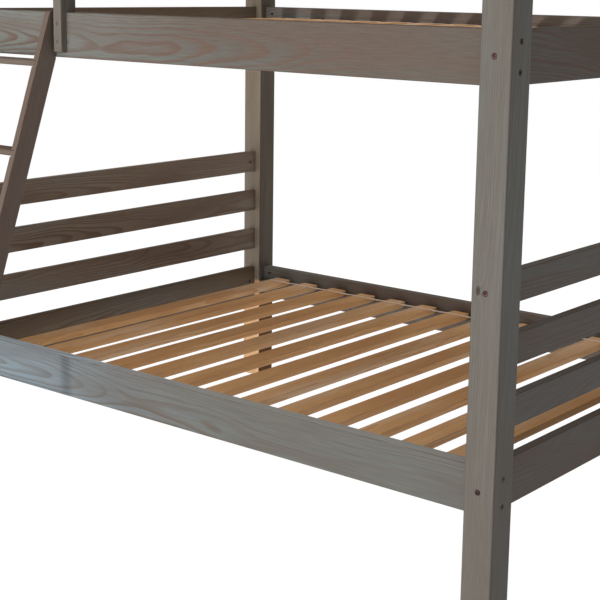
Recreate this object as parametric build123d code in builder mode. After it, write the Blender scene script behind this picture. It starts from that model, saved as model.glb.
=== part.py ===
"""Full-over-full bunk bed with a leaning ladder, bolted from solid pine posts, rails and slats.

Frame: X along the bed, Y from front to back, Z up. The floor is Z = 0 and the origin is the centre of
the bed and ladder together. "Inset" always means the distance inwards from the outer faces of the posts.
"""
import os
from math import cos, radians, tan

from build123d import *

os.makedirs("parts", exist_ok=True)

# Overall size over the posts
LENGTH = 2020.0
DEPTH = 1485.0
HEIGHT = 1780.0

# Posts
POST = 83.0
POST_ROUND = 5.0
POST_END_ROUND = 3.0

# Side rails, which carry the slats
SIDE_THICK = 36.0
SIDE_INSET = 20.0
LOWER_BOTTOM = 321.0
LOWER_RAIL = 120.0
UPPER_BOTTOM = 1323.0
UPPER_RAIL = 127.0

# End rails and guard rails
END_THICK = 26.0
END_INSET = 32.0
NARROW = 78.5
NARROW_GAP = 73.5
PANEL_RAILS = 3
GUARD_RAILS = 2
BOARD_ROUND = 3.0

# Guard post beside the ladder opening
GUARD_POST_WIDTH = 35.0
GUARD_POST_DEPTH = 56.0
GUARD_POST_X = -472.5
GUARD_POST_ROUND = 4.0
GUARD_POST_ABOVE_RAIL_BOTTOM = 15.0

# Slats, their ledgers and the tape that spaces them
SLATS = 13
SLAT_WIDTH = 67.0
SLAT_THICK = 20.0
SLAT_PITCH = 136.5
SLAT_SHIFT = 5.0
SLAT_END_GAP = 12.0
SLAT_TOP_ABOVE_RAIL_BOTTOM = 88.0
SLAT_CORNER = 6.0
LEDGER_DEPTH = 30.0
LEDGER_HEIGHT = 40.0
LEDGER_END_GAP = 3.0
TAPE_WIDTH = 15.0
TAPE_THICK = 1.2
TAPE_FROM_SLAT_END = 47.0

# Ladder
LEAN = 19.1
STILE_WIDTH = 61.5
STILE_THICK = 20.0
STILE_ABOVE_RAIL = 3.0
STILE_KINK_BELOW_RAIL = 5.0
STILE_TIP_ROUND = 9.0
LADDER_RIGHT = -503.0
LADDER_WIDTH = 410.0
TREADS = 5
TREAD_TOP = 320.6
TREAD_PITCH = 248.6
TREAD_THICK = 17.0
TREAD_DEPTH = 62.0
TREAD_HOUSING = 10.0
TREAD_ROUND = 4.0

# Fasteners
BOLT_RADIUS = 3.0
BOLT_HOLE = 3.5
BOLT_LENGTH = 121.0
BOLT_HOLE_PAST_POST = 44.0
BOLT_HEAD_RADIUS = 7.0
BOLT_HEAD_THICK = 3.0
BOLT_HEAD_RECESS_RADIUS = 7.5
BOLT_SOCKET = 2.5
BOLT_SOCKET_DEPTH = 2.4
SIDE_BOLT_SPREAD = 34.0
SIDE_BOLT_RISE = 2.5
END_BOLT_RISE = 4.0
GUARD_BOLT_RISE = 10.0
NUT_RADIUS = 5.0
NUT_HOLE = 5.2
NUT_BORE = 3.2
NUT_FROM_RAIL_END = 30.0
NUT_LENGTH = 14.0
DOWEL_RADIUS = 4.0
DOWEL_LENGTH = 40.0
DOWEL_FIT = 0.05
DOWEL_SPREAD_NARROW = 24.0
DOWEL_SPREAD_WIDE = 40.0
SCREW_RADIUS = 2.5
SCREW_HOLE = 2.8
SCREW_HEAD_RADIUS = 5.0
SCREW_HEAD_THICK = 3.0
SHORT_SCREW_LENGTH = 50.0
LAP_SCREW_HEIGHTS = (46.0, 96.0)
GUARD_SCREW_LENGTH = 80.0
LADDER_SCREW_LENGTH = 60.0
LADDER_SCREW_HEIGHTS = (46.0, 81.0)
LEDGER_SCREWS = 6

# Worked-out places
X_OUT = LENGTH / 2
LEAN_SLOPE = tan(radians(LEAN))
STILE_RUN = STILE_WIDTH / cos(radians(LEAN))
STILE_KINK_Z = UPPER_BOTTOM - STILE_KINK_BELOW_RAIL
LADDER_REACH = STILE_KINK_Z * LEAN_SLOPE + STILE_RUN - SIDE_INSET
Y_FRONT = (LADDER_REACH - DEPTH) / 2
Y_BACK = Y_FRONT + DEPTH
RAIL_SPAN = LENGTH - 2 * POST
END_SPAN = DEPTH - 2 * POST
SIDE_CENTRE = SIDE_INSET + SIDE_THICK / 2
SIDE_INNER = SIDE_INSET + SIDE_THICK
END_CENTRE = END_INSET + END_THICK / 2
END_INNER = END_INSET + END_THICK
GUARD_CENTRE = SIDE_INSET + END_THICK / 2
LOWER_TOP = LOWER_BOTTOM + LOWER_RAIL
UPPER_TOP = UPPER_BOTTOM + UPPER_RAIL
SLAT_LENGTH = DEPTH - 2 * (SIDE_INNER + SLAT_END_GAP)
STILE_TOP = UPPER_TOP + STILE_ABOVE_RAIL

SIDES = {"left": -1, "right": 1}
FACES = {"front": -1, "back": 1}
DECKS = {"lower": (LOWER_BOTTOM, LOWER_RAIL), "upper": (UPPER_BOTTOM, UPPER_RAIL)}


def x_at(side, inset):
    """X of a point at the given inset from the left (-1) or right (1) outer post face."""
    return side * (X_OUT - inset)


def y_at(face, inset):
    """Y of a point at the given inset from the front (-1) or back (1) outer post face."""
    return Y_FRONT + inset if face < 0 else Y_BACK - inset


def narrow_bottoms(first_below, count):
    """Undersides of the narrow rails that are stacked above a wide one."""
    return [first_below + NARROW_GAP + n * (NARROW + NARROW_GAP) for n in range(count)]


PANEL_BOTTOMS = narrow_bottoms(LOWER_TOP, PANEL_RAILS)
GUARD_BOTTOMS = narrow_bottoms(UPPER_TOP, GUARD_RAILS)


def save(piece, name):
    """Label a finished piece and write its STEP file."""
    piece.part.label = name
    export_step(piece.part, f"parts/{name}.step")


# ---- where the joints are -------------------------------------------------------------------------

def side_bolt_heights():
    """Heights of the bolts that run along X into the side rails, two to each end of a rail."""
    heights = []
    for bottom, rail in DECKS.values():
        middle = bottom + rail / 2 + SIDE_BOLT_RISE
        heights += [middle - SIDE_BOLT_SPREAD, middle + SIDE_BOLT_SPREAD]
    return heights


def guard_heights():
    """Heights of the bolts that run along X into the guard rails, above those that cross them along Y."""
    return [bottom + NARROW / 2 + GUARD_BOLT_RISE for bottom in GUARD_BOTTOMS]


def end_bolt_heights():
    """Heights of the bolts that run along Y: the wide end rails and the top narrow rail of each panel."""
    wide = [bottom + rail / 2 + END_BOLT_RISE for bottom, rail in DECKS.values()]
    return wide + [PANEL_BOTTOMS[-1] + NARROW / 2, GUARD_BOTTOMS[-1] + NARROW / 2 - GUARD_BOLT_RISE]


def end_dowel_heights():
    """Heights of the two dowels at each end of every end rail."""
    heights = []
    for bottom, rail in DECKS.values():
        middle = bottom + rail / 2
        heights += [middle - DOWEL_SPREAD_WIDE, middle + DOWEL_SPREAD_WIDE]
    for bottom in PANEL_BOTTOMS + GUARD_BOTTOMS:
        middle = bottom + NARROW / 2
        heights += [middle - DOWEL_SPREAD_NARROW, middle + DOWEL_SPREAD_NARROW]
    return heights


def side_bolt_planes(side, face):
    """Planes on the X face of one post, facing outwards, where its side rail bolts go in."""
    y = y_at(face, SIDE_CENTRE)
    return [Plane(origin=(x_at(side, 0), y, z), z_dir=(side, 0, 0)) for z in side_bolt_heights()]


def guard_bolt_planes(side, face):
    """The same for the guard rails. The front left post holds none, because the ladder lands there."""
    if (side, face) == (SIDES["left"], FACES["front"]):
        return []
    y = y_at(face, GUARD_CENTRE)
    return [Plane(origin=(x_at(side, 0), y, z), z_dir=(side, 0, 0)) for z in guard_heights()]


def end_bolt_planes(side, face):
    """Planes on the Y face of one post, facing outwards, where its end rail bolts go in."""
    x = x_at(side, END_CENTRE)
    return [Plane(origin=(x, y_at(face, 0), z), z_dir=(0, face, 0)) for z in end_bolt_heights()]


def end_dowel_planes(side, face, inset):
    """Planes at the ends of the end rails' dowels, facing the middle of the bed."""
    x = x_at(side, END_CENTRE)
    return [Plane(origin=(x, y_at(face, inset), z), z_dir=(0, -face, 0)) for z in end_dowel_heights()]


CORNERS = [(side, face) for side in SIDES.values() for face in FACES.values()]


# ---- posts ----------------------------------------------------------------------------------------

def post(side, face):
    """A corner post with its bolt holes, recessed for the heads, and its dowel holes."""
    centre = (x_at(side, POST / 2), y_at(face, POST / 2), 0)
    with BuildPart() as piece:
        with BuildSketch(Plane(origin=centre)):
            RectangleRounded(POST, POST, POST_ROUND)
        extrude(amount=HEIGHT)
        fillet(piece.faces().filter_by(Axis.Z).edges(), POST_END_ROUND)
        bolts = side_bolt_planes(side, face) + guard_bolt_planes(side, face) + end_bolt_planes(side, face)
        with Locations(*bolts):
            CounterBoreHole(BOLT_HOLE, BOLT_HEAD_RECESS_RADIUS, BOLT_HEAD_THICK, depth=POST + 1)
        with Locations(*end_dowel_planes(side, face, POST)):
            Hole(DOWEL_RADIUS + DOWEL_FIT, depth=DOWEL_LENGTH / 2 + DOWEL_FIT)
    return piece


for side_name, side in SIDES.items():
    for face_name, face in FACES.items():
        save(post(side, face), f"post_{face_name}_{side_name}")


# ---- side rails -----------------------------------------------------------------------------------

def ledger_screw_xs():
    """Evenly spaced places of the screws along a ledger."""
    step = RAIL_SPAN / LEDGER_SCREWS
    return [(n + 0.5) * step - RAIL_SPAN / 2 for n in range(LEDGER_SCREWS)]


def ledger_screw_planes(face, bottom):
    """Planes on the inner face of a ledger, facing the middle of the bed, at its screws."""
    y = y_at(face, SIDE_INNER + LEDGER_DEPTH)
    z = bottom + SLAT_TOP_ABOVE_RAIL_BOTTOM - SLAT_THICK - LEDGER_HEIGHT / 2
    return [Plane(origin=(x, y, z), z_dir=(0, -face, 0)) for x in ledger_screw_xs()]


def lap_screw_planes():
    """Planes on the front of the guard post, facing forwards, at the screws through its lap."""
    return [
        Plane(origin=(GUARD_POST_X, Y_FRONT, UPPER_BOTTOM + height), z_dir=(0, -1, 0))
        for height in LAP_SCREW_HEIGHTS
    ]


def stile_centres():
    """X of the middle of the left and right ladder stiles."""
    left = LADDER_RIGHT - LADDER_WIDTH + STILE_THICK / 2
    return {"left": left, "right": LADDER_RIGHT - STILE_THICK / 2}


def ladder_screw_planes():
    """Planes on the inner face of the upper front rail, facing backwards, at the ladder's screws."""
    y = Y_FRONT + SIDE_INNER
    return [
        Plane(origin=(x, y, UPPER_BOTTOM + height), z_dir=(0, 1, 0))
        for x in stile_centres().values()
        for height in LADDER_SCREW_HEIGHTS
    ]


def nut_planes(bolt_planes, towards):
    """Planes at the barrel nuts that the given bolts screw into, with their axis along a direction."""
    nuts = []
    for bolt in bolt_planes:
        middle = bolt.origin - bolt.z_dir * (POST + NUT_FROM_RAIL_END)
        nuts.append(Plane(origin=middle, z_dir=towards))
    return nuts


def board(length_axis, centre, length, thickness, bottom, height):
    """A plain board on edge with eased long edges, its length along X or Y."""
    size = (length, thickness) if length_axis == Axis.X else (thickness, length)
    with BuildPart() as piece:
        with BuildSketch(Plane(origin=(centre[0], centre[1], bottom))):
            Rectangle(*size)
        extrude(amount=height)
        fillet(piece.edges().filter_by(length_axis), BOARD_ROUND)
    return piece.part


def side_rail(face, bottom, height):
    """A side rail with its end bolt holes, barrel nut holes and ledger screw holes."""
    inward = (0, -face, 0)
    y_inner = y_at(face, SIDE_INNER)
    upper_front = face < 0 and bottom == UPPER_BOTTOM
    with BuildPart() as piece:
        add(board(Axis.X, (0, y_at(face, SIDE_CENTRE)), RAIL_SPAN, SIDE_THICK, bottom, height))
        for side in SIDES.values():
            bolts = [p for p in side_bolt_planes(side, face) if bottom < p.origin.Z < bottom + height]
            ends = [Plane(origin=p.origin - p.z_dir * POST, z_dir=p.z_dir) for p in bolts]
            with Locations(*ends):
                Hole(BOLT_HOLE, depth=BOLT_HOLE_PAST_POST)
            mouths = [
                Plane(origin=(p.origin.X, y_inner, p.origin.Z), z_dir=inward) for p in nut_planes(bolts, inward)
            ]
            with Locations(*mouths):
                Hole(NUT_HOLE, depth=SIDE_THICK / 2 + NUT_LENGTH / 2)
        screws = [Plane(origin=(p.origin.X, y_inner, p.origin.Z), z_dir=inward)
                  for p in ledger_screw_planes(face, bottom)]
        with Locations(*screws):
            Hole(SCREW_HOLE, depth=SHORT_SCREW_LENGTH - LEDGER_DEPTH + 1)
        if upper_front:
            laps = [Plane(origin=(p.origin.X, Y_FRONT + SIDE_INSET, p.origin.Z), z_dir=p.z_dir)
                    for p in lap_screw_planes()]
            with Locations(*laps):
                Hole(SCREW_HOLE, depth=SHORT_SCREW_LENGTH - SIDE_INSET + 1)
            with Locations(*ladder_screw_planes()):
                CounterBoreHole(SCREW_HOLE, SCREW_HEAD_RADIUS + 0.2, SCREW_HEAD_THICK, depth=SIDE_THICK + 1)
    return piece


for deck_name, (bottom, height) in DECKS.items():
    for face_name, face in FACES.items():
        save(side_rail(face, bottom, height), f"side_rail_{deck_name}_{face_name}")


# ---- end rails ------------------------------------------------------------------------------------

def end_rail(side, bottom, height):
    """A board between a front and a back post, dowelled and, where the bolts are, drilled for them."""
    inward = (-side, 0, 0)
    x_inner = x_at(side, END_INNER)
    with BuildPart() as piece:
        centre = (x_at(side, END_CENTRE), (Y_FRONT + Y_BACK) / 2)
        add(board(Axis.Y, centre, END_SPAN, END_THICK, bottom, height))
        for face in FACES.values():
            bolts = [p for p in end_bolt_planes(side, face) if bottom < p.origin.Z < bottom + height]
            dowels = [
                Plane(origin=p.origin, z_dir=-p.z_dir)
                for p in end_dowel_planes(side, face, POST)
                if bottom < p.origin.Z < bottom + height
            ]
            with Locations(*dowels):
                Hole(DOWEL_RADIUS + DOWEL_FIT, depth=DOWEL_LENGTH / 2 + DOWEL_FIT)
            if bolts:
                ends = [Plane(origin=p.origin - p.z_dir * POST, z_dir=p.z_dir) for p in bolts]
                with Locations(*ends):
                    Hole(BOLT_HOLE, depth=BOLT_HOLE_PAST_POST)
                mouths = [
                    Plane(origin=(x_inner, p.origin.Y, p.origin.Z), z_dir=inward)
                    for p in nut_planes(bolts, inward)
                ]
                with Locations(*mouths):
                    Hole(NUT_HOLE, depth=END_THICK / 2 + NUT_LENGTH / 2)
    return piece


for side_name, side in SIDES.items():
    for deck_name, (bottom, height) in DECKS.items():
        save(end_rail(side, bottom, height), f"end_rail_{deck_name}_{side_name}")
    for n, bottom in enumerate(PANEL_BOTTOMS, start=1):
        save(end_rail(side, bottom, NARROW), f"panel_rail_{side_name}_{n}")
    for n, bottom in enumerate(GUARD_BOTTOMS, start=1):
        save(end_rail(side, bottom, NARROW), f"end_guard_{side_name}_{n}")


# ---- guard rails and guard post -------------------------------------------------------------------

def guard_screw_planes():
    """Planes on the ladder side of the guard post, facing left, at the screws into the guard rails."""
    x = GUARD_POST_X - GUARD_POST_WIDTH / 2
    y = Y_FRONT + GUARD_CENTRE
    return [Plane(origin=(x, y, z), z_dir=(-1, 0, 0)) for z in guard_heights()]


def guard_rail(face, bottom):
    """A long guard rail: the back one spans the posts, the front one stops at the guard post."""
    left = GUARD_POST_X + GUARD_POST_WIDTH / 2 if face < 0 else x_at(-1, POST)
    right = x_at(1, POST)
    inward = (0, -face, 0)
    with BuildPart() as piece:
        centre = ((left + right) / 2, y_at(face, GUARD_CENTRE))
        add(board(Axis.X, centre, right - left, END_THICK, bottom, NARROW))
        for side in SIDES.values():
            bolts = [p for p in guard_bolt_planes(side, face) if bottom < p.origin.Z < bottom + NARROW]
            if bolts:
                ends = [Plane(origin=p.origin - p.z_dir * POST, z_dir=p.z_dir) for p in bolts]
                with Locations(*ends):
                    Hole(BOLT_HOLE, depth=BOLT_HOLE_PAST_POST)
                mouths = [
                    Plane(origin=(p.origin.X, y_at(face, SIDE_INSET + END_THICK), p.origin.Z), z_dir=inward)
                    for p in nut_planes(bolts, inward)
                ]
                with Locations(*mouths):
                    Hole(NUT_HOLE, depth=END_THICK / 2 + NUT_LENGTH / 2)
        if face < 0:
            screws = [Plane(origin=(left, p.origin.Y, p.origin.Z), z_dir=p.z_dir)
                      for p in guard_screw_planes() if bottom < p.origin.Z < bottom + NARROW]
            with Locations(*screws):
                Hole(SCREW_HOLE, depth=GUARD_SCREW_LENGTH - GUARD_POST_WIDTH + 1)
    return piece


for face_name, face in FACES.items():
    for n, bottom in enumerate(GUARD_BOTTOMS, start=1):
        save(guard_rail(face, bottom), f"guard_rail_{face_name}_{n}")

with BuildPart() as guard_post:
    foot = UPPER_BOTTOM + GUARD_POST_ABOVE_RAIL_BOTTOM
    with BuildSketch(Plane(origin=(GUARD_POST_X, Y_FRONT + GUARD_POST_DEPTH / 2, foot))):
        RectangleRounded(GUARD_POST_WIDTH, GUARD_POST_DEPTH, GUARD_POST_ROUND)
    extrude(amount=HEIGHT - foot)
    fillet(guard_post.faces().filter_by(Axis.Z).edges(), POST_END_ROUND)
    with BuildSketch(Plane.XY.offset(foot)):
        with Locations((GUARD_POST_X, Y_FRONT + SIDE_INSET + GUARD_POST_DEPTH / 2)):
            Rectangle(GUARD_POST_WIDTH, GUARD_POST_DEPTH)
    extrude(amount=UPPER_TOP - foot, mode=Mode.SUBTRACT)
    with Locations(*lap_screw_planes()):
        CounterBoreHole(SCREW_HOLE, SCREW_HEAD_RADIUS + 0.2, SCREW_HEAD_THICK, depth=SIDE_INSET + 1)
    with Locations(*guard_screw_planes()):
        CounterBoreHole(SCREW_HOLE, SCREW_HEAD_RADIUS + 0.2, SCREW_HEAD_THICK, depth=GUARD_POST_WIDTH + 1)
save(guard_post, "guard_post")


# ---- ledgers, slats and tape ----------------------------------------------------------------------

def slat_bottom(rail_bottom):
    return rail_bottom + SLAT_TOP_ABOVE_RAIL_BOTTOM - SLAT_THICK


def ledger(face, rail_bottom):
    """The strip along a side rail that the slats rest on."""
    length = RAIL_SPAN - 2 * LEDGER_END_GAP
    bottom = slat_bottom(rail_bottom) - LEDGER_HEIGHT
    with BuildPart() as piece:
        centre = (0, y_at(face, SIDE_INNER + LEDGER_DEPTH / 2))
        add(board(Axis.X, centre, length, LEDGER_DEPTH, bottom, LEDGER_HEIGHT))
        with Locations(*ledger_screw_planes(face, rail_bottom)):
            CounterBoreHole(SCREW_HOLE, SCREW_HEAD_RADIUS + 0.2, SCREW_HEAD_THICK, depth=LEDGER_DEPTH + 1)
    return piece


for deck_name, (bottom, height) in DECKS.items():
    for face_name, face in FACES.items():
        save(ledger(face, bottom), f"ledger_{deck_name}_{face_name}")


def slat_x(n):
    """X of the middle of slat n, counted from the left."""
    return (n - (SLATS - 1) / 2) * SLAT_PITCH + SLAT_SHIFT


with BuildPart() as slat_blank:
    with BuildSketch(Plane.XY):
        RectangleRounded(SLAT_WIDTH, SLAT_LENGTH, SLAT_CORNER)
    extrude(amount=SLAT_THICK)
    fillet(slat_blank.faces().filter_by(Axis.Z).edges(), 2.0)

SLAT_Y = (Y_FRONT + Y_BACK) / 2

for n in range(SLATS):
    with BuildPart() as slat:
        with Locations((slat_x(n), SLAT_Y, slat_bottom(LOWER_BOTTOM))):
            add(slat_blank.part)
    save(slat, f"slat_lower_{n + 1:02d}")

with BuildPart() as slats_upper:
    with Locations(*[(slat_x(n), SLAT_Y, slat_bottom(UPPER_BOTTOM)) for n in range(SLATS)]):
        add(slat_blank.part)
save(slats_upper, "slats_upper")

for deck_name, (bottom, height) in DECKS.items():
    with BuildPart() as tape:
        reach = SLAT_LENGTH / 2 - TAPE_FROM_SLAT_END
        with BuildSketch(Plane.XY.offset(bottom + SLAT_TOP_ABOVE_RAIL_BOTTOM)):
            with Locations((slat_x(0) / 2 + slat_x(SLATS - 1) / 2, SLAT_Y - reach),
                           (slat_x(0) / 2 + slat_x(SLATS - 1) / 2, SLAT_Y + reach)):
                Rectangle(slat_x(SLATS - 1) - slat_x(0) + SLAT_WIDTH - 2 * SLAT_CORNER, TAPE_WIDTH)
        extrude(amount=TAPE_THICK)
    save(tape, f"slat_tape_{deck_name}")


# ---- ladder ---------------------------------------------------------------------------------------

def stile_back(z):
    """Y of the sloping back edge of a stile at a height below the kink."""
    return Y_FRONT + SIDE_INSET - (STILE_KINK_Z - z) * LEAN_SLOPE


def stile_front(z):
    return stile_back(z) - STILE_RUN


def tread_tops():
    return [TREAD_TOP + n * TREAD_PITCH for n in range(TREADS)]


def stile(x, inner):
    """A leaning board, cut level at the floor and upright against the rail; inner is +1 or -1 along X."""
    with BuildPart() as piece:
        with BuildSketch(Plane(origin=(x - STILE_THICK / 2, 0, 0), x_dir=(0, 1, 0), z_dir=(1, 0, 0))):
            with BuildLine():
                Polyline(
                    (stile_front(0), 0),
                    (stile_back(0), 0),
                    (stile_back(STILE_KINK_Z), STILE_KINK_Z),
                    (stile_back(STILE_KINK_Z), STILE_TOP),
                    (stile_front(STILE_TOP), STILE_TOP),
                    close=True,
                )
            make_face()
        extrude(amount=STILE_THICK)
        tips = piece.edges().filter_by(Axis.X).group_by(Axis.Z)[-1]
        fillet(tips, STILE_TIP_ROUND)
        housing_x = x + inner * (STILE_THICK / 2 - TREAD_HOUSING / 2)
        for top in tread_tops():
            with Locations((housing_x, stile_front(top) + TREAD_DEPTH / 2 - STILE_RUN / 2, top - TREAD_THICK / 2)):
                Box(TREAD_HOUSING, TREAD_DEPTH + STILE_RUN, TREAD_THICK, mode=Mode.SUBTRACT)
        screws = [Plane(origin=(p.origin.X, Y_FRONT + SIDE_INSET, p.origin.Z), z_dir=(0, 1, 0))
                  for p in ladder_screw_planes() if abs(p.origin.X - x) < STILE_THICK]
        with Locations(*screws):
            Hole(SCREW_HOLE, depth=LADDER_SCREW_LENGTH - SIDE_THICK + 1)
    return piece


for side_name, x in stile_centres().items():
    save(stile(x, -SIDES[side_name]), f"ladder_stile_{side_name}")

for n, top in enumerate(tread_tops(), start=1):
    with BuildPart() as tread:
        with BuildSketch(Plane(origin=(LADDER_RIGHT - LADDER_WIDTH / 2, stile_front(top) + TREAD_DEPTH / 2,
                                       top - TREAD_THICK))):
            Rectangle(LADDER_WIDTH - 2 * (STILE_THICK - TREAD_HOUSING), TREAD_DEPTH)
        extrude(amount=TREAD_THICK)
        fillet(tread.edges().filter_by(Axis.X), TREAD_ROUND)
    save(tread, f"ladder_tread_{n}")


# ---- fasteners ------------------------------------------------------------------------------------

with BuildPart() as bolt:
    with BuildSketch(Plane.XY.offset(-BOLT_HEAD_THICK)):
        Circle(BOLT_HEAD_RADIUS)
    extrude(amount=BOLT_HEAD_THICK)
    fillet(bolt.edges().group_by(Axis.Z)[-1], 0.8)
    with BuildSketch(Plane.XY.offset(-BOLT_LENGTH)):
        Circle(BOLT_RADIUS)
    extrude(amount=BOLT_LENGTH - BOLT_HEAD_THICK)
    with BuildSketch(Plane.XY.offset(-BOLT_SOCKET_DEPTH)):
        RegularPolygon(BOLT_SOCKET, 6)
    extrude(amount=BOLT_SOCKET_DEPTH, mode=Mode.SUBTRACT)

X_BOLTS = [p for corner in CORNERS for p in side_bolt_planes(*corner) + guard_bolt_planes(*corner)]
Y_BOLTS = [p for corner in CORNERS for p in end_bolt_planes(*corner)]

with BuildPart() as bolts:
    with Locations(*X_BOLTS, *Y_BOLTS):
        add(bolt.part)
save(bolts, "connector_bolts")

ALONG_X = (0, 90, 0)
ALONG_Y = (90, 0, 0)

with BuildPart() as nuts:
    for bolt_planes, barrel_turn, bore_turn in [(X_BOLTS, ALONG_Y, ALONG_X), (Y_BOLTS, ALONG_X, ALONG_Y)]:
        with Locations(*[p.origin - p.z_dir * (POST + NUT_FROM_RAIL_END) for p in bolt_planes]):
            Cylinder(NUT_RADIUS, NUT_LENGTH, rotation=barrel_turn)
            Cylinder(NUT_BORE, 3 * NUT_RADIUS, rotation=bore_turn, mode=Mode.SUBTRACT)
save(nuts, "barrel_nuts")

with BuildPart() as dowels:
    ends = [p for corner in CORNERS for p in end_dowel_planes(*corner, POST - DOWEL_LENGTH / 2)]
    with Locations(*ends):
        Cylinder(DOWEL_RADIUS, DOWEL_LENGTH, align=(Align.CENTER, Align.CENTER, Align.MIN))
save(dowels, "end_rail_dowels")


def screws(name, length, planes):
    """Flat-headed wood screws of one length, with their heads flush at the given planes."""
    with BuildPart() as screw:
        with BuildSketch(Plane.XY.offset(-SCREW_HEAD_THICK)):
            Circle(SCREW_HEAD_RADIUS)
        extrude(amount=SCREW_HEAD_THICK - 0.2)
        with BuildSketch(Plane.XY.offset(-length + 6)):
            Circle(SCREW_RADIUS)
        extrude(amount=length - 6 - SCREW_HEAD_THICK)
        with BuildSketch(Plane.XY.offset(-length + 6)):
            Circle(SCREW_RADIUS)
        extrude(amount=-6, taper=20)
    with BuildPart() as group:
        with Locations(*planes):
            add(screw.part)
    save(group, name)


LEDGER_SCREW_PLANES = [
    p for face in FACES.values() for bottom, _ in DECKS.values() for p in ledger_screw_planes(face, bottom)
]
screws("ledger_and_lap_screws", SHORT_SCREW_LENGTH, LEDGER_SCREW_PLANES + lap_screw_planes())
screws("guard_rail_screws", GUARD_SCREW_LENGTH, guard_screw_planes())
screws("ladder_screws", LADDER_SCREW_LENGTH, ladder_screw_planes())
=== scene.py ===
"""Looks for the full-over-full bunk bed: grey stained pine, honey slats, dark bolts and woven tape.

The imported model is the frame. Its nodes keep their places and shapes and get procedural materials here;
the tapes over the slats are rebuilt with their sag and their staples. Metres, Z up, floor at Z = 0.
"""

import math
import random

import bmesh
import bpy
from mathutils import Euler, Matrix, Vector

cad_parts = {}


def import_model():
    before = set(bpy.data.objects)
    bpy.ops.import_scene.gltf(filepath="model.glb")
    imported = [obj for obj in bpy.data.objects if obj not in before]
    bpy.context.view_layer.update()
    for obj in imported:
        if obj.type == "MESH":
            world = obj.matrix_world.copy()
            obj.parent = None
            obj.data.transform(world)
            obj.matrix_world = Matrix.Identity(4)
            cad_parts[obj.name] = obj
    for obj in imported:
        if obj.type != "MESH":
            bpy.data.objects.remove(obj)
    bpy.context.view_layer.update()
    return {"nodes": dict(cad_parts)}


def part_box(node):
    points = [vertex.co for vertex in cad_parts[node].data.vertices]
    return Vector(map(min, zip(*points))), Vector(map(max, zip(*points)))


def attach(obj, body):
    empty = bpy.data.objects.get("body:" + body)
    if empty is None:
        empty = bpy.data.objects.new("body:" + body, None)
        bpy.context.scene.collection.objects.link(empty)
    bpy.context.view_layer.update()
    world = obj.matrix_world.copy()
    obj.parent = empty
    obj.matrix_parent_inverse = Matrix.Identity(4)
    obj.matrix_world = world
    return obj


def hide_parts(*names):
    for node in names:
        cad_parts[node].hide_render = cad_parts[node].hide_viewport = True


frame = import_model()

# Camera, placed from the outer corner of the front right post
CAMERA_FROM_CORNER = (1.5592, -2.6258)
CAMERA_HEIGHT = 1.5418
CAMERA_TURN = (1.3848, -0.0829, 0.7573)
CAMERA_LENS = 83.07
CAMERA_SENSOR = 36.0
CAMERA_SHIFT = (-0.0278, -0.0955)
CAMERA_REACH = 1000.0

# Lights: name, place, size, power, colour. All face one point inside the bed.
LIGHTS = [
    ("key", (-3.3, -5.6, 1.5), 2.8, 55.0, (1.0, 0.93, 0.84)),
    ("low", (-0.9, -6.0, 0.35), 0.6, 208.0, (1.0, 0.94, 0.87)),
    ("top", (0.0, 0.0, 6.0), 8.0, 430.0, (1.0, 1.0, 1.0)),
]
LIGHT_TARGET = (0.0, 0.2, 0.8)
WORLD_FILL = 0.10

# Floor
FLOOR_REACH = 220.0
FLOOR_GLOW = 0.99
FLOOR_WHITE = 0.04
FLOOR_ROUGH = 0.9

# Growth rings: how far apart, how uneven, and where in a year the late wood starts and stops
RING_SPACING = 0.0048
RING_RIPPLE = 0.007
YEARS_UNEVEN = 2.2
YEARS_UNEVEN_FINENESS = 0.35
LATE_STARTS = (0.25, 0.86)
LATE_STOPS = (0.90, 1.0)

# Knots: spread over the flat face, size of the eye, and how the rings swell round it
KNOT_SPREAD = (4.2, 0.0, 2.1)
KNOT_EYE = (0.020, 0.034)
KNOT_SWELL = 0.030
KNOT_SWELL_FALL = -16.0

# Fineness of the fibres and of the clouds in the stain, across, across and along the grain
FIBRE_FINENESS = (520.0, 520.0, 14.0)
CLOUD_FINENESS = (7.0, 7.0, 1.3)

# Pine's surface
PINE_ROUGH = 0.56
PINE_SPECULAR = 0.15
PINE_BUMP = 0.0003
FIBRE_SHADE = (0.86, 1.10)
END_GRAIN_SHADE = 0.72
# Share of the edge colour on rounded edges: wear, and painted shade where that colour is darker
BOARD_EDGE_WEAR_AND_SHADE = 0.9
SLAT_EDGE_WEAR_AND_SHADE = 0.4
BARE_FOOT_BLUR = 0.006

# Where boards come from in the log
PITH_DEPTH = (0.012, 0.050)
PITH_ASIDE = 0.030
PITH_TILT = 0.035
LOG_LENGTH = (2.0, 60.0)
LADDER_LEAN = math.radians(19.1)

# Slats
SLATS = 13
SLAT_PITCH = 0.1365
SLAT_PITH_DEPTH = 0.020
SLAT_WANDER = 0.016
SLAT_CHANCE = (0.07, 0.05, 50.0)
UPPER_DECK_NUMBER = 40.0
BETWEEN_DECKS = 1.0

# Tape
TAPE_SAG = 0.0012
TAPE_HALF = 0.0075
TAPE_THICK = 0.0009
TAPE_STEP = 0.006
TAPE_WAVE = 0.0006
TAPE_WAVE_TURNS = (37.0, 11.0)
TAPE_THREAD = 0.0012
TAPE_CORNER = 0.002

# Staples: wire radius, crown, leg, distance from a slat's middle, and how far one may stray and turn
STAPLE_WIRE = 0.0006
STAPLE_WIDTH = 0.009
STAPLE_LEG = 0.0035
STAPLE_FROM_MIDDLE = 0.017
STAPLE_STRAY = (0.002, 0.001)
STAPLE_TURN = 0.25
STAPLE_SIDES = 8
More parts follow.
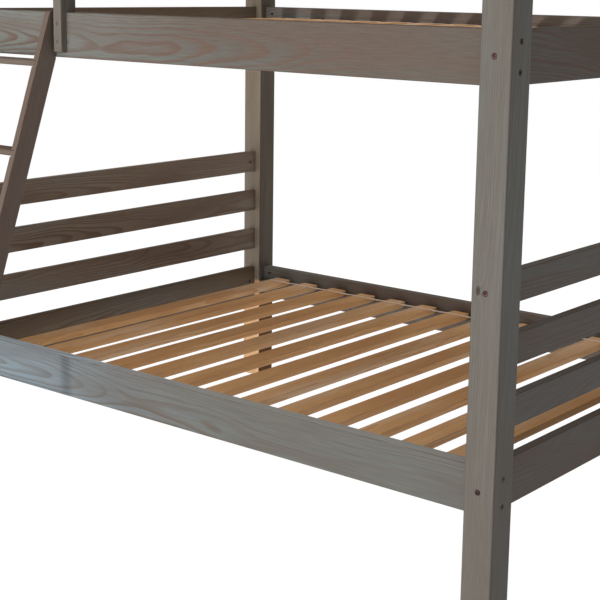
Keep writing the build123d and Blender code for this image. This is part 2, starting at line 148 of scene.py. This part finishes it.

# Linear base colours. A pine is its early wood, tint, late wood, knots and edges, worn and painted darker
# as shade.
GREY_PINE = ((0.142, 0.130, 0.114, 1), (0.148, 0.158, 0.149, 1), (0.140, 0.094, 0.076, 1),
             (0.040, 0.026, 0.020, 1), (0.070, 0.050, 0.040, 1))
POST_PINE = ((0.138, 0.131, 0.117, 1), (0.142, 0.143, 0.132, 1), (0.120, 0.104, 0.089, 1),
             (0.045, 0.032, 0.026, 1), (0.100, 0.074, 0.063, 1))
# Painted shade: a darker copy of the grey pine for the right end boards
SHADED_END_PINE = ((0.092, 0.083, 0.073, 1), (0.098, 0.096, 0.090, 1), (0.086, 0.050, 0.036, 1),
            (0.036, 0.024, 0.018, 1), (0.058, 0.044, 0.036, 1))
BLUE_PINE = ((0.128, 0.132, 0.125, 1), (0.136, 0.150, 0.146, 1), (0.112, 0.092, 0.078, 1),
             (0.060, 0.046, 0.040, 1), (0.066, 0.052, 0.047, 1))
FRONT_PINE = ((0.112, 0.100, 0.086, 1), (0.122, 0.128, 0.120, 1), (0.122, 0.080, 0.064, 1),
              (0.040, 0.026, 0.020, 1), (0.070, 0.050, 0.040, 1))
# Partly painted: browner and darker than the grey pine for the warm bounce light from the slats and the
# shade on the left end boards
SHADED_BROWN_PINE = ((0.122, 0.088, 0.060, 1), (0.122, 0.103, 0.082, 1), (0.092, 0.056, 0.034, 1),
              (0.045, 0.026, 0.017, 1), (0.070, 0.046, 0.032, 1))
PANEL_PINE = ((0.205, 0.164, 0.128, 1), (0.205, 0.186, 0.162, 1), (0.118, 0.075, 0.050, 1),
              (0.060, 0.036, 0.024, 1), (0.085, 0.058, 0.042, 1))
# Painted light: a lighter copy of the post pine for the back left post's lit front
LIT_TAN_PINE = ((0.272, 0.230, 0.180, 1), (0.276, 0.252, 0.212, 1), (0.212, 0.162, 0.118, 1),
            (0.060, 0.036, 0.024, 1), (0.110, 0.076, 0.054, 1))
LADDER_PINE = ((0.134, 0.104, 0.086, 1), (0.138, 0.113, 0.096, 1), (0.128, 0.080, 0.062, 1),
               (0.060, 0.038, 0.030, 1), (0.110, 0.072, 0.058, 1))
HONEY_PINE = ((0.535, 0.310, 0.140, 1), (0.560, 0.385, 0.240, 1), (0.430, 0.205, 0.078, 1),
              (0.190, 0.075, 0.028, 1), (0.540, 0.310, 0.160, 1))

# Which boards have which pine. The first that fits counts, and the rest are grey. Some pines carry painted
# shade and light.
STAINS_AND_PAINTED_LIGHT = [
    ("ladder", LADDER_PINE),
    ("side_rail_lower_front", BLUE_PINE),
    ("side_rail_upper_front", FRONT_PINE),
    ("post_back_left", LIT_TAN_PINE),
    ("panel_rail_left", PANEL_PINE),
    ("end_rail_lower_left", SHADED_BROWN_PINE),
    ("end_rail_upper_left", SHADED_BROWN_PINE),
    ("panel_rail_right", SHADED_END_PINE),
    ("end_rail_lower_right", SHADED_END_PINE),
    ("end_rail_upper_right", SHADED_END_PINE),
    ("post", POST_PINE),
]

# The back left post's foot has no stain. The first colour is its front and back, the second its sides in
# painted shade.
BARE_FOOT = (0.800, 0.500, 0.270, 1)
BARE_FOOT_SHADED_SIDE = (0.240, 0.090, 0.028, 1)

# The left end of the two front rails is tinted cooler than the rest: partly the stain, partly painted cool
# light.
COOL_STAIN_AND_LIGHT_END = {
    "side_rail_lower_front": (0.205, 0.272, 0.325, 1),
    "side_rail_upper_front": (0.178, 0.195, 0.190, 1),
}
COOL_STAIN_AND_LIGHT_FROM_TO = (-0.75, 0.20)
COOL_STAIN_AND_LIGHT_SHARE = 0.85

# How boards are cut: draw of the place in the log, coarseness, ring wander, pith aside, pith depth
PLAIN_CUT = (0, 1.3, 0.028, None, None)
POST_CUT = (0, 1.0, 0.006, 0.140, 0.050)
CUTS = {
    "side_rail_lower_front": (3, 1.9, 0.030, 0.010, 0.022),
    "side_rail_upper_front": (5, 1.3, 0.018, 0.012, 0.050),
    "post_front_right": (1, 1.0, 0.004, 0.170, 0.060),
    "end_rail_upper_right": (2, 1.5, 0.030, -0.050, 0.060),
    "ladder_stile_right": (0, 1.0, 0.008, 0.120, 0.070),
    "ladder_stile_left": (1, 1.0, 0.008, 0.110, 0.060),
}

# How much darker or lighter a board's X faces are painted than its other faces, and its top and bottom:
# painted shade and light.
PAINTED_SIDE_SHADE = {"post_front_right": 0.80, "post_back_left": 0.41, "guard_post": 0.85}
PAINTED_TOP_LIGHT = {"side_rail_lower_front": 2.3}


# ---- small helpers ----------------------------------------------------------------------------------

def add(tree, kind, inputs=None, **settings):
    """Adds a node. Each input is a plain value or the output socket of another node."""
    made = tree.nodes.new(kind)
    for name, value in settings.items():
        setattr(made, name, value)
    for key, value in (inputs or {}).items():
        if isinstance(value, bpy.types.NodeSocket):
            tree.links.new(value, made.inputs[key])
        else:
            made.inputs[key].default_value = value
    return made


def sums(tree, operation, *values):
    """The output of a Math node."""
    return add(tree, "ShaderNodeMath", dict(enumerate(values)), operation=operation).outputs[0]


def vectors(tree, operation, *values):
    """The vector output of a Vector Math node."""
    made = add(tree, "ShaderNodeVectorMath", dict(enumerate(values)), operation=operation)
    return made.outputs["Vector"]


def noise(tree, vector, scale, detail=2.0, roughness=0.5):
    """A noise texture node with its fineness along each axis."""
    stretched = vectors(tree, "MULTIPLY", vector, scale)
    settings = {"Vector": stretched, "Scale": 1.0, "Detail": detail, "Roughness": roughness}
    return add(tree, "ShaderNodeTexNoise", settings)


def between(tree, value, low, high, to_low=0.0, to_high=1.0):
    """A value eased from one range to another, and held at its ends."""
    settings = {"Value": value, "From Min": low, "From Max": high, "To Min": to_low, "To Max": to_high}
    return add(tree, "ShaderNodeMapRange", settings, interpolation_type="SMOOTHSTEP").outputs["Result"]


def mixed(tree, factor, first, second):
    """One colour blended into another."""
    made = add(tree, "ShaderNodeMix", data_type="RGBA")
    for index, value in ((0, factor), (6, first), (7, second)):
        if isinstance(value, bpy.types.NodeSocket):
            tree.links.new(value, made.inputs[index])
        else:
            made.inputs[index].default_value = value
    return made.outputs[2]


def new_material(name):
    """An empty node material, its tree, its shader and its output."""
    material = bpy.data.materials.new(name)
    material.use_nodes = True
    tree = material.node_tree
    tree.nodes.clear()
    shader = add(tree, "ShaderNodeBsdfPrincipled")
    out = add(tree, "ShaderNodeOutputMaterial")
    tree.links.new(shader.outputs["BSDF"], out.inputs["Surface"])
    return material, tree, shader


def bumped(tree, shader, height, distance):
    """Gives a shader a bump from a height between 0 and 1."""
    bump = add(tree, "ShaderNodeBump", {"Height": height, "Distance": distance, "Strength": 1.0})
    tree.links.new(bump.outputs["Normal"], shader.inputs["Normal"])


def paint(obj, material):
    """Puts one material on every slot of a node."""
    for slot in obj.material_slots:
        slot.material = material


# ---- pine -------------------------------------------------------------------------------------------

def pine_group():
    """Wood in log space: X and Y are the distance from the pith, and Z runs along the grain."""
    tree = bpy.data.node_groups.new("pine", "ShaderNodeTree")
    tree.interface.new_socket("Log", in_out="INPUT", socket_type="NodeSocketVector")
    tree.interface.new_socket("Wander", in_out="INPUT", socket_type="NodeSocketFloat")
    for name in ("Late", "Knot", "Fibre", "Cloud"):
        tree.interface.new_socket(name, in_out="OUTPUT", socket_type="NodeSocketFloat")
    entry = add(tree, "NodeGroupInput")
    log = entry.outputs["Log"]
    out = add(tree, "NodeGroupOutput")

    wander = noise(tree, log, (2.2, 2.2, 1.5), detail=2.5).outputs["Color"]
    centred = vectors(tree, "SUBTRACT", wander, (0.5, 0.5, 0.5))
    shift = add(tree, "ShaderNodeVectorMath", {0: centred, "Scale": entry.outputs["Wander"]},
                operation="SCALE").outputs["Vector"]
    ripple = noise(tree, log, (14.0, 14.0, 5.0), detail=2.0).outputs["Color"]
    ripple = vectors(tree, "SUBTRACT", ripple, (0.5, 0.5, 0.5))
    ripple = vectors(tree, "MULTIPLY", ripple, (RING_RIPPLE, RING_RIPPLE, 0.0))
    moved = vectors(tree, "ADD", log, vectors(tree, "ADD", shift, ripple))
    section = vectors(tree, "MULTIPLY", moved, (1.0, 1.0, 0.0))
    radius = add(tree, "ShaderNodeVectorMath", {0: section}, operation="LENGTH").outputs["Value"]

    flat = vectors(tree, "MULTIPLY", vectors(tree, "ADD", log, ripple), KNOT_SPREAD)
    cells = add(tree, "ShaderNodeTexVoronoi", {"Vector": flat, "Scale": 1.0, "Randomness": 0.95},
                voronoi_dimensions="3D", feature="F1")
    eye = cells.outputs["Distance"]
    swell = sums(tree, "EXPONENT", sums(tree, "MULTIPLY", eye, KNOT_SWELL_FALL))
    radius = sums(tree, "ADD", radius, sums(tree, "MULTIPLY", swell, KNOT_SWELL))
    knot = between(tree, eye, *KNOT_EYE, 1.0, 0.0)

    years = sums(tree, "DIVIDE", radius, RING_SPACING)
    settings = {"W": sums(tree, "MULTIPLY", years, YEARS_UNEVEN_FINENESS), "Detail": 1.0, "Scale": 1.0}
    unevenness = add(tree, "ShaderNodeTexNoise", settings, noise_dimensions="1D").outputs["Fac"]
    years = sums(tree, "ADD", years, sums(tree, "MULTIPLY", unevenness, YEARS_UNEVEN))
    season = sums(tree, "FRACT", years)
    rise = between(tree, season, *LATE_STARTS)
    fall = between(tree, season, *LATE_STOPS, 1.0, 0.0)
    late = sums(tree, "MULTIPLY", rise, fall)
    weight = noise(tree, log, (9.0, 9.0, 2.0), detail=1.0).outputs["Fac"]
    late = sums(tree, "MULTIPLY", late, between(tree, weight, 0.25, 0.75, 0.35, 1.0))

    fibre = noise(tree, log, FIBRE_FINENESS, detail=3.0, roughness=0.6).outputs["Fac"]
    cloud = noise(tree, log, CLOUD_FINENESS, detail=2.0, roughness=0.55).outputs["Fac"]
    for name, value in (("Late", late), ("Knot", knot), ("Fibre", fibre), ("Cloud", cloud)):
        tree.links.new(value, out.inputs[name])
    return tree


def pine_shader(name, log_vector_of, turn, colours, edge_wear_and_shade, wander):
    """A pine material. The colours are early wood, its tint, late wood, knot and edge, worn and painted
    darker as shade.
    """
    early, tint, late_colour, knot_colour, worn_and_shaded_edge = colours
    material, tree, shader = new_material(f"pine_{name}")
    log = log_vector_of(tree)
    grain = add(tree, "ShaderNodeGroup")
    grain.node_tree = PINE
    tree.links.new(log, grain.inputs["Log"])
    grain.inputs["Wander"].default_value = 2 * wander
    late, knot, fibre, cloud = (grain.outputs[k] for k in ("Late", "Knot", "Fibre", "Cloud"))

    normal = add(tree, "ShaderNodeNewGeometry").outputs["Normal"]
    facing = add(tree, "ShaderNodeVectorRotate", {"Vector": normal, "Rotation": turn},
                 rotation_type="EULER_XYZ", invert=True).outputs["Vector"]
    parts = add(tree, "ShaderNodeSeparateXYZ", {"Vector": vectors(tree, "ABSOLUTE", facing)})
    flatness = sums(tree, "MAXIMUM", parts.outputs["Y"], parts.outputs["Z"])
    flatness = sums(tree, "MAXIMUM", parts.outputs["X"], flatness)
    edge = between(tree, flatness, 0.80, 0.97, 1.0, 0.0)
    end_grain = between(tree, parts.outputs["Z"], 0.75, 0.95)

    at = add(tree, "ShaderNodeTexCoord").outputs["Object"]
    place = add(tree, "ShaderNodeSeparateXYZ", {"Vector": at})
    faces = add(tree, "ShaderNodeSeparateXYZ", {"Vector": vectors(tree, "ABSOLUTE", normal)})
    # X faces and top and bottom faces, by their normals: masks for the painted shade and light below
    side = between(tree, faces.outputs["X"], 0.60, 0.85)
    top = between(tree, faces.outputs["Z"], 0.60, 0.85)

    base = mixed(tree, between(tree, cloud, 0.46, 0.66), early, tint)
    # Cooler left end of the front rails: partly stain, partly painted cool light
    if name in COOL_STAIN_AND_LIGHT_END:
        cool_stain_and_light = between(tree, place.outputs["X"], *COOL_STAIN_AND_LIGHT_FROM_TO, COOL_STAIN_AND_LIGHT_SHARE, 0.0)
        base = mixed(tree, cool_stain_and_light, base, COOL_STAIN_AND_LIGHT_END[name])
    blotch = between(tree, cloud, 0.50, 0.34, 0.0, 0.55)
    brown = sums(tree, "MAXIMUM", sums(tree, "MULTIPLY", late, 0.95), blotch)
    base = mixed(tree, brown, base, late_colour)
    base = mixed(tree, sums(tree, "MULTIPLY", knot, 0.9), base, knot_colour)
    # Rounded edges take the edge colour: wear, and on the grey boards a painted shade that darkens them
    scuffed_and_shaded_edge = sums(tree, "MULTIPLY", edge, between(tree, fibre, 0.35, 0.65, 0.4 * edge_wear_and_shade, edge_wear_and_shade))
    base = mixed(tree, scuffed_and_shaded_edge, base, worn_and_shaded_edge)
    shade = between(tree, fibre, 0.25, 0.75, *FIBRE_SHADE)
    shade = sums(tree, "MULTIPLY", shade, between(tree, end_grain, 0.0, 1.0, 1.0, END_GRAIN_SHADE))
    # Painted shade: darkens the board's X faces
    if name in PAINTED_SIDE_SHADE:
        shade = sums(tree, "MULTIPLY", shade, between(tree, side, 0.0, 1.0, 1.0, PAINTED_SIDE_SHADE[name]))
    # Painted light: lightens the board's top and bottom
    if name in PAINTED_TOP_LIGHT:
        shade = sums(tree, "MULTIPLY", shade, between(tree, top, 0.0, 1.0, 1.0, PAINTED_TOP_LIGHT[name]))
    if name == "post_back_left":
        slat_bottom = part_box("slat_lower_01")[0].z
        blur = (slat_bottom - BARE_FOOT_BLUR, slat_bottom + BARE_FOOT_BLUR)
        bare = between(tree, place.outputs["Z"], *blur, 1.0, 0.0)
        # The foot's sides take the darker colour as painted shade
        base = mixed(tree, bare, base, mixed(tree, side, BARE_FOOT, BARE_FOOT_SHADED_SIDE))
    toned = add(tree, "ShaderNodeVectorMath", {0: base, "Scale": shade}, operation="SCALE")
    tree.links.new(toned.outputs["Vector"], shader.inputs["Base Color"])

    rough = sums(tree, "ADD", PINE_ROUGH, sums(tree, "MULTIPLY", fibre, 0.16))
    rough = sums(tree, "SUBTRACT", rough, sums(tree, "MULTIPLY", late, 0.08))
    tree.links.new(rough, shader.inputs["Roughness"])
    shader.inputs["Specular IOR Level"].default_value = PINE_SPECULAR
    ridges = sums(tree, "ADD", sums(tree, "MULTIPLY", late, 0.55), sums(tree, "MULTIPLY", fibre, 0.6))
    bumped(tree, shader, ridges, PINE_BUMP)
    return material


def board_axes(low, high):
    """The directions along and across a board, from its box: its longest and second longest sides."""
    size = high - low
    order = sorted(range(3), key=lambda i: size[i], reverse=True)
    along, across = Vector((0, 0, 0)), Vector((0, 0, 0))
    along[order[0]] = 1.0
    across[order[1]] = 1.0
    return along, across


def board_turn(along, across):
    """The turn from log space to the model for a board that lies along one direction and across another."""
    third = along.cross(across)
    return Matrix((across, third, along)).transposed()


def board_material(name, colours, lean):
    """Pine for one board, cut from its own place in the log: the place is seeded by the board's name."""
    low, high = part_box(name)
    usual_cut = POST_CUT if name.startswith("post") else PLAIN_CUT
    draw, coarse, wander, pith_aside, pith_depth = CUTS.get(name, usual_cut)
    dice = random.Random(f"{name} {draw}")
    turn = Matrix.Rotation(lean, 3, "X") @ board_turn(*board_axes(low, high))
    tilt = (dice.uniform(-PITH_TILT, PITH_TILT), dice.uniform(-PITH_TILT, PITH_TILT), 0.0)
    log_turn = turn @ Euler(tilt).to_matrix()
    aside = dice.uniform(-PITH_ASIDE, PITH_ASIDE)
    depth = dice.uniform(*PITH_DEPTH) * dice.choice((-1, 1))
    if pith_aside is not None:
        aside, depth = pith_aside, pith_depth
    place = Vector((aside, depth, dice.uniform(*LOG_LENGTH)))
    origin = (low + high) / 2 - log_turn @ place * coarse

    def log_vector(tree):
        at = add(tree, "ShaderNodeTexCoord").outputs["Object"]
        settings = {"Vector": at, "Location": origin, "Rotation": log_turn.to_euler(),
                    "Scale": (coarse, coarse, coarse)}
        return add(tree, "ShaderNodeMapping", settings, vector_type="TEXTURE").outputs["Vector"]

    return pine_shader(name, log_vector, turn.to_euler(), colours, BOARD_EDGE_WEAR_AND_SHADE, wander)


def slat_material(first_slat):
    """Pine for both decks' slats: each is its own cut, chosen by which step of its row it stands on."""
    low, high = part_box(first_slat)
    centre = (low + high) / 2
    turn = board_turn(Vector((0, 1, 0)), Vector((1, 0, 0)))

    def log_vector(tree):
        at = add(tree, "ShaderNodeTexCoord").outputs["Object"]
        parts = add(tree, "ShaderNodeSeparateXYZ", {"Vector": at})
        steps = sums(tree, "DIVIDE", sums(tree, "SUBTRACT", parts.outputs["X"], centre.x), SLAT_PITCH)
        step = sums(tree, "ROUND", steps)
        deck = sums(tree, "GREATER_THAN", parts.outputs["Z"], BETWEEN_DECKS)
        number = sums(tree, "ADD", step, sums(tree, "MULTIPLY", deck, UPPER_DECK_NUMBER))
        across = sums(tree, "MULTIPLY", sums(tree, "SUBTRACT", steps, step), SLAT_PITCH)
        height = sums(tree, "SUBTRACT", parts.outputs["Z"], centre.z)
        height = sums(tree, "SUBTRACT", height, sums(tree, "MULTIPLY", deck, deck_step()))
        local = add(tree, "ShaderNodeCombineXYZ", {"X": across, "Y": height, "Z": parts.outputs["Y"]})
        chance = add(tree, "ShaderNodeTexWhiteNoise", {"W": number}, noise_dimensions="1D").outputs["Color"]
        chance = vectors(tree, "SUBTRACT", chance, (0.5, 0.5, 0.0))
        chance = vectors(tree, "MULTIPLY", chance, SLAT_CHANCE)
        lifted = vectors(tree, "ADD", local.outputs["Vector"], (0.0, SLAT_PITH_DEPTH, 0.0))
        return vectors(tree, "ADD", lifted, chance)

    return pine_shader("slats", log_vector, turn.to_euler(), HONEY_PINE, SLAT_EDGE_WEAR_AND_SHADE, SLAT_WANDER)


def deck_step():
    """How far the upper slats lie above the lower ones."""
    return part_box("slats_upper")[0].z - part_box("slat_lower_01")[0].z


def beech_material():
    """Plain pale beech for the dowels, with short dark flecks."""
    material, tree, shader = new_material("beech")
    at = add(tree, "ShaderNodeTexCoord").outputs["Object"]
    flecks = noise(tree, at, (600.0, 90.0, 600.0), detail=2.0).outputs["Fac"]
    base = mixed(tree, between(tree, flecks, 0.52, 0.62), (0.55, 0.38, 0.22, 1), (0.36, 0.20, 0.10, 1))
    tree.links.new(base, shader.inputs["Base Color"])
    tree.links.new(between(tree, flecks, 0.3, 0.7, 0.55, 0.70), shader.inputs["Roughness"])
    bumped(tree, shader, flecks, 0.0001)
    return material


# ---- metal and tape ---------------------------------------------------------------------------------

def steel_material(name, clean, stained, roughness):
    """Plated steel with cloudy plating, fine scratches and a stained film."""
    material, tree, shader = new_material(name)
    at = add(tree, "ShaderNodeTexCoord").outputs["Object"]
    cloudy = noise(tree, at, (160.0, 160.0, 160.0), detail=3.0).outputs["Fac"]
    scratches = noise(tree, at, (2600.0, 300.0, 2600.0), detail=2.0).outputs["Fac"]
    base = mixed(tree, between(tree, cloudy, 0.40, 0.62), clean, stained)
    tree.links.new(base, shader.inputs["Base Color"])
    shader.inputs["Metallic"].default_value = 1.0
    rough = between(tree, scratches, 0.3, 0.7, roughness - 0.08, roughness + 0.10)
    tree.links.new(rough, shader.inputs["Roughness"])
    bumped(tree, shader, scratches, 0.00004)
    return material


def tape_material():
    """Woven cotton tape: threads along and across it, with a slubby unevenness."""
    material, tree, shader = new_material("cotton_tape")
    at = add(tree, "ShaderNodeTexCoord").outputs["Object"]
    parts = add(tree, "ShaderNodeSeparateXYZ", {"Vector": at})
    warp = sums(tree, "SINE", sums(tree, "MULTIPLY", parts.outputs["X"], 2 * math.pi / TAPE_THREAD))
    weft = sums(tree, "SINE", sums(tree, "MULTIPLY", parts.outputs["Y"], 2 * math.pi / TAPE_THREAD))
    weave = between(tree, sums(tree, "MULTIPLY", warp, weft), -1.0, 1.0)
    slub = noise(tree, at, (90.0, 900.0, 90.0), detail=2.0).outputs["Fac"]
    base = mixed(tree, weave, (0.50, 0.36, 0.26, 1), (0.70, 0.54, 0.42, 1))
    base = mixed(tree, between(tree, slub, 0.35, 0.70, 0.0, 0.5), base, (0.58, 0.42, 0.30, 1))
    tree.links.new(base, shader.inputs["Base Color"])
    tree.links.new(between(tree, slub, 0.3, 0.7, 0.80, 0.95), shader.inputs["Roughness"])
    shader.inputs["Sheen Weight"].default_value = 0.3
    bumped(tree, shader, weave, 0.0002)
    return material


# ---- tape and staples -------------------------------------------------------------------------------

def mesh_piece(name, mesh, material):
    """Makes an object of a finished mesh that rides on the bed."""
    obj = bpy.data.objects.new(name, mesh)
    bpy.context.scene.collection.objects.link(obj)
    obj.data.materials.append(material)
    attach(obj, "root")
    return obj


def skin(mesh, rings):
    """Joins each ring of corners to the next with faces."""
    count = len(rings[0])
    for before, after in zip(rings, rings[1:]):
        for i in range(count):
            j = (i + 1) % count
            mesh.faces.new((before[i], before[j], after[j], after[i]))


def slat_steps():
    """The middle of each slat along X, from the boxes of the nodes."""
    first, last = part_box("slat_lower_01"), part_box(f"slat_lower_{SLATS}")
    start = (first[0].x + first[1].x) / 2
    end = (last[0].x + last[1].x) / 2
    return [start + (end - start) * n / (SLATS - 1) for n in range(SLATS)]


def tape_lines(deck):
    """The two Y places of a deck's tapes."""
    low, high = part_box(f"slat_tape_{deck}")
    return [low.y + TAPE_HALF, high.y - TAPE_HALF]


def tape_height(x, middles, half):
    """How far the tape hangs below the slat tops at a place along the bed."""
    nearest = min(abs(x - m) for m in middles)
    if nearest <= half:
        return 0.0
    gap = SLAT_PITCH - 2 * half
    share = (nearest - half) / (gap / 2)
    return -TAPE_SAG * math.sin(share * math.pi / 2)


def tape(deck, material):
    """Both tapes of a deck: flat on each slat, sagging a little between them, with rounded selvedges."""
    low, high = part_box(f"slat_tape_{deck}")
    slat_low, slat_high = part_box("slat_lower_01")
    half = (slat_high.x - slat_low.x) / 2 - TAPE_CORNER
    middles = slat_steps()
    profile = [(-1.0, 0.25), (-0.96, 0.8), (-0.88, 1.0), (-0.5, 0.9), (0.0, 0.94), (0.5, 0.9), (0.88, 1.0),
               (0.96, 0.8), (1.0, 0.25), (0.96, 0.0), (-0.96, 0.0)]
    mesh = bmesh.new()
    for y in tape_lines(deck):
        rings = []
        count = int((high.x - low.x) / TAPE_STEP)
        for step in range(count + 1):
            x = low.x + (high.x - low.x) * step / count
            drop = tape_height(x, middles, half)
            middle = y + TAPE_WAVE * math.sin(x * TAPE_WAVE_TURNS[0] + y * TAPE_WAVE_TURNS[1])
            places = [(x, middle + across * TAPE_HALF * 0.96, low.z + drop + up * TAPE_THICK)
                      for across, up in profile]
            rings.append([mesh.verts.new(place) for place in places])
        skin(mesh, rings)
        mesh.faces.new(rings[0])
        mesh.faces.new(list(reversed(rings[-1])))
    bmesh.ops.recalc_face_normals(mesh, faces=mesh.faces)
    data = bpy.data.meshes.new(f"tape_{deck}")
    mesh.to_mesh(data)
    mesh.free()
    data.shade_smooth()
    obj = mesh_piece(f"tape_{deck}", data, material)
    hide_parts(f"slat_tape_{deck}")


def staples(deck, material):
    """The staples that hold a deck's tapes: two crowns of wire on every slat and tape."""
    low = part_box(f"slat_tape_{deck}")[0]
    mesh = bmesh.new()
    dice = random.Random(f"staples {deck}")
    for y in tape_lines(deck):
        for middle in slat_steps():
            for side in (-1, 1):
                stray = [dice.uniform(-most, most) for most in STAPLE_STRAY]
                x = middle + side * STAPLE_FROM_MIDDLE + stray[0]
                centre = Vector((x, y + stray[1], low.z + TAPE_THICK))
                staple(mesh, centre, dice.uniform(-STAPLE_TURN, STAPLE_TURN))
    data = bpy.data.meshes.new(f"staples_{deck}")
    mesh.to_mesh(data)
    mesh.free()
    data.shade_smooth()
    mesh_piece(f"tape_staples_{deck}", data, material)


def staple(mesh, centre, turn):
    """One staple: a flat crown whose two legs bend down into the wood."""
    half = STAPLE_WIDTH / 2
    path = [(-half, -STAPLE_LEG), (-half, -0.0004), (-half + 0.0006, 0.0001),
            (half - 0.0006, 0.0001), (half, -0.0004), (half, -STAPLE_LEG)]
    spin = Matrix.Rotation(turn, 3, "Z")
    rings = []
    for index, (across, up) in enumerate(path):
        before = path[max(index - 1, 0)]
        after = path[min(index + 1, len(path) - 1)]
        ahead = Vector((0.0, after[0] - before[0], after[1] - before[1])).normalized()
        out = ahead.cross(Vector((1.0, 0.0, 0.0)))
        ring = []
        for corner in range(STAPLE_SIDES):
            angle = corner * 2 * math.pi / STAPLE_SIDES
            wide = Vector((math.cos(angle), 0, 0)) * STAPLE_WIRE
            offset = wide + out * math.sin(angle) * STAPLE_WIRE * 0.7
            ring.append(mesh.verts.new(centre + spin @ (Vector((0.0, across, up)) + offset)))
        rings.append(ring)
    skin(mesh, rings)


# ---- scene ------------------------------------------------------------------------------------------

def light(name, at, size, power, colour):
    """A square soft light that faces the shared target."""
    data = bpy.data.lights.new(name, "AREA")
    data.size = size
    data.energy = power
    data.color = colour
    obj = bpy.data.objects.new(name, data)
    obj.location = at
    obj.rotation_euler = (Vector(LIGHT_TARGET) - Vector(at)).to_track_quat("-Z", "Y").to_euler()
    bpy.context.scene.collection.objects.link(obj)


def floor():
    """A plain white floor that glows a little, so that no hard shadow falls on it."""
    mesh = bpy.data.meshes.new("floor")
    corners = [(x * FLOOR_REACH, y * FLOOR_REACH, 0) for x, y in ((-1, -1), (1, -1), (1, 1), (-1, 1))]
    mesh.from_pydata(corners, [], [(0, 1, 2, 3)])
    obj = bpy.data.objects.new("floor", mesh)
    bpy.context.scene.collection.objects.link(obj)
    material, tree, shader = new_material("floor")
    shader.inputs["Base Color"].default_value = (FLOOR_WHITE, FLOOR_WHITE, FLOOR_WHITE, 1)
    shader.inputs["Roughness"].default_value = FLOOR_ROUGH
    shader.inputs["Emission Color"].default_value = (1, 1, 1, 1)
    shader.inputs["Emission Strength"].default_value = FLOOR_GLOW
    mesh.materials.append(material)


def world():
    """A white surround that lights the bed only weakly."""
    made = bpy.data.worlds.new("studio")
    bpy.context.scene.world = made
    made.use_nodes = True
    tree = made.node_tree
    tree.nodes.clear()
    seen = add(tree, "ShaderNodeLightPath").outputs["Is Camera Ray"]
    strength = between(tree, seen, 0.0, 1.0, WORLD_FILL, 1.0)
    background = add(tree, "ShaderNodeBackground", {"Color": (1, 1, 1, 1), "Strength": strength})
    out = add(tree, "ShaderNodeOutputWorld")
    tree.links.new(background.outputs["Background"], out.inputs["Surface"])


def camera():
    """The camera at the photograph's viewpoint."""
    data = bpy.data.cameras.new("camera")
    data.lens = CAMERA_LENS
    data.sensor_width = CAMERA_SENSOR
    data.shift_x, data.shift_y = CAMERA_SHIFT
    data.clip_end = CAMERA_REACH
    obj = bpy.data.objects.new("camera", data)
    low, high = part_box("post_front_right")
    obj.location = (high.x + CAMERA_FROM_CORNER[0], low.y + CAMERA_FROM_CORNER[1], CAMERA_HEIGHT)
    obj.rotation_mode = "YXZ"
    obj.rotation_euler = CAMERA_TURN
    bpy.context.scene.collection.objects.link(obj)
    bpy.context.scene.camera = obj


def palette(name):
    """The stain of a board, for some boards with painted shade and light in it, by how its name starts."""
    # Some of the pines hold painted shade and light
    for start, stain_and_painted_light in STAINS_AND_PAINTED_LIGHT:
        if name.startswith(start):
            return stain_and_painted_light
    return GREY_PINE


def dress(nodes):
    """Gives every CAD node its material."""
    slats = slat_material("slat_lower_01")
    bolt_steel = steel_material("bolt_steel", (0.070, 0.042, 0.040, 1), (0.030, 0.018, 0.018, 1), 0.46)
    screw_steel = steel_material("screw_steel", (0.20, 0.18, 0.17, 1), (0.09, 0.07, 0.06, 1), 0.42)
    nut_steel = steel_material("nut_steel", (0.60, 0.58, 0.54, 1), (0.38, 0.35, 0.30, 1), 0.32)
    plain = {"connector_bolts": bolt_steel, "barrel_nuts": nut_steel, "end_rail_dowels": beech_material()}
    for name, obj in nodes.items():
        if name.startswith("slat_tape"):
            continue
        if name.startswith("slat"):
            paint(obj, slats)
        elif name in plain:
            paint(obj, plain[name])
        elif name.endswith("screws"):
            paint(obj, screw_steel)
        else:
            lean = -LADDER_LEAN if name.startswith("ladder_stile") else 0.0
            paint(obj, board_material(name, palette(name), lean=lean))


bpy.context.scene.view_settings.view_transform = "Standard"

PINE = pine_group()
dress(frame["nodes"])
cotton = tape_material()
staple_steel = steel_material("staple_steel", (0.62, 0.60, 0.56, 1), (0.40, 0.37, 0.33, 1), 0.30)
for deck in ("lower", "upper"):
    tape(deck, cotton)
    staples(deck, staple_steel)

world()
floor()
for lamp in LIGHTS:
    light(*lamp)
camera()
